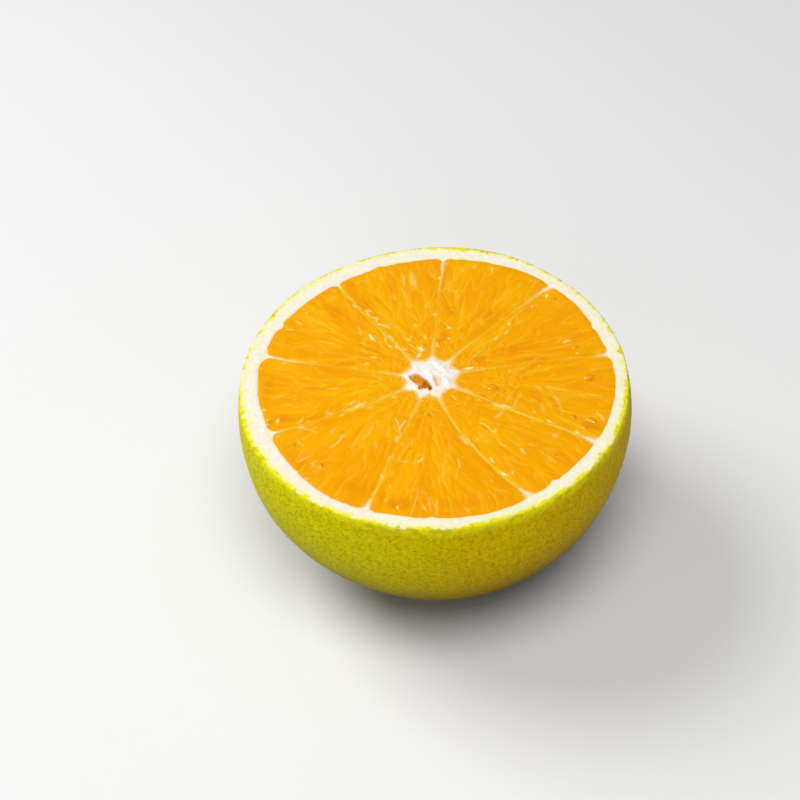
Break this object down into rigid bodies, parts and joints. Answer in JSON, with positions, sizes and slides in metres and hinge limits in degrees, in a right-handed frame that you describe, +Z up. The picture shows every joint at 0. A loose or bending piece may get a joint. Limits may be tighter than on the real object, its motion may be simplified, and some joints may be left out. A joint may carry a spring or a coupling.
{
  "type": "orange half",
  "caption": "Half an orange, cut across its segments and lying on its blossom end, with peel, white pith, juicy pulp between thin walls, and a fibrous core.",
  "frame": {"origin": "middle of the small flat spot at the blossom end that the fruit rests on", "axes": "+Z up through the fruit's axis to the cut face; -Y is the side that faces the viewer; +X to the viewer's right"},
  "size_m": [0.0778, 0.0778, 0.0458],
  "materials": {
    "peel": "yellow-green citrus peel with fine oil pores, satin and slightly waxy",
    "pith": "cream white, soft and matt, faintly spongy",
    "flesh": "orange juice sacs, wet and slightly translucent",
    "core": "white fibre, matt, with two torn hollows"
  },
  "bodies": {
    "root": {"orange_half": "peel"}
  },
  "joints": []
}
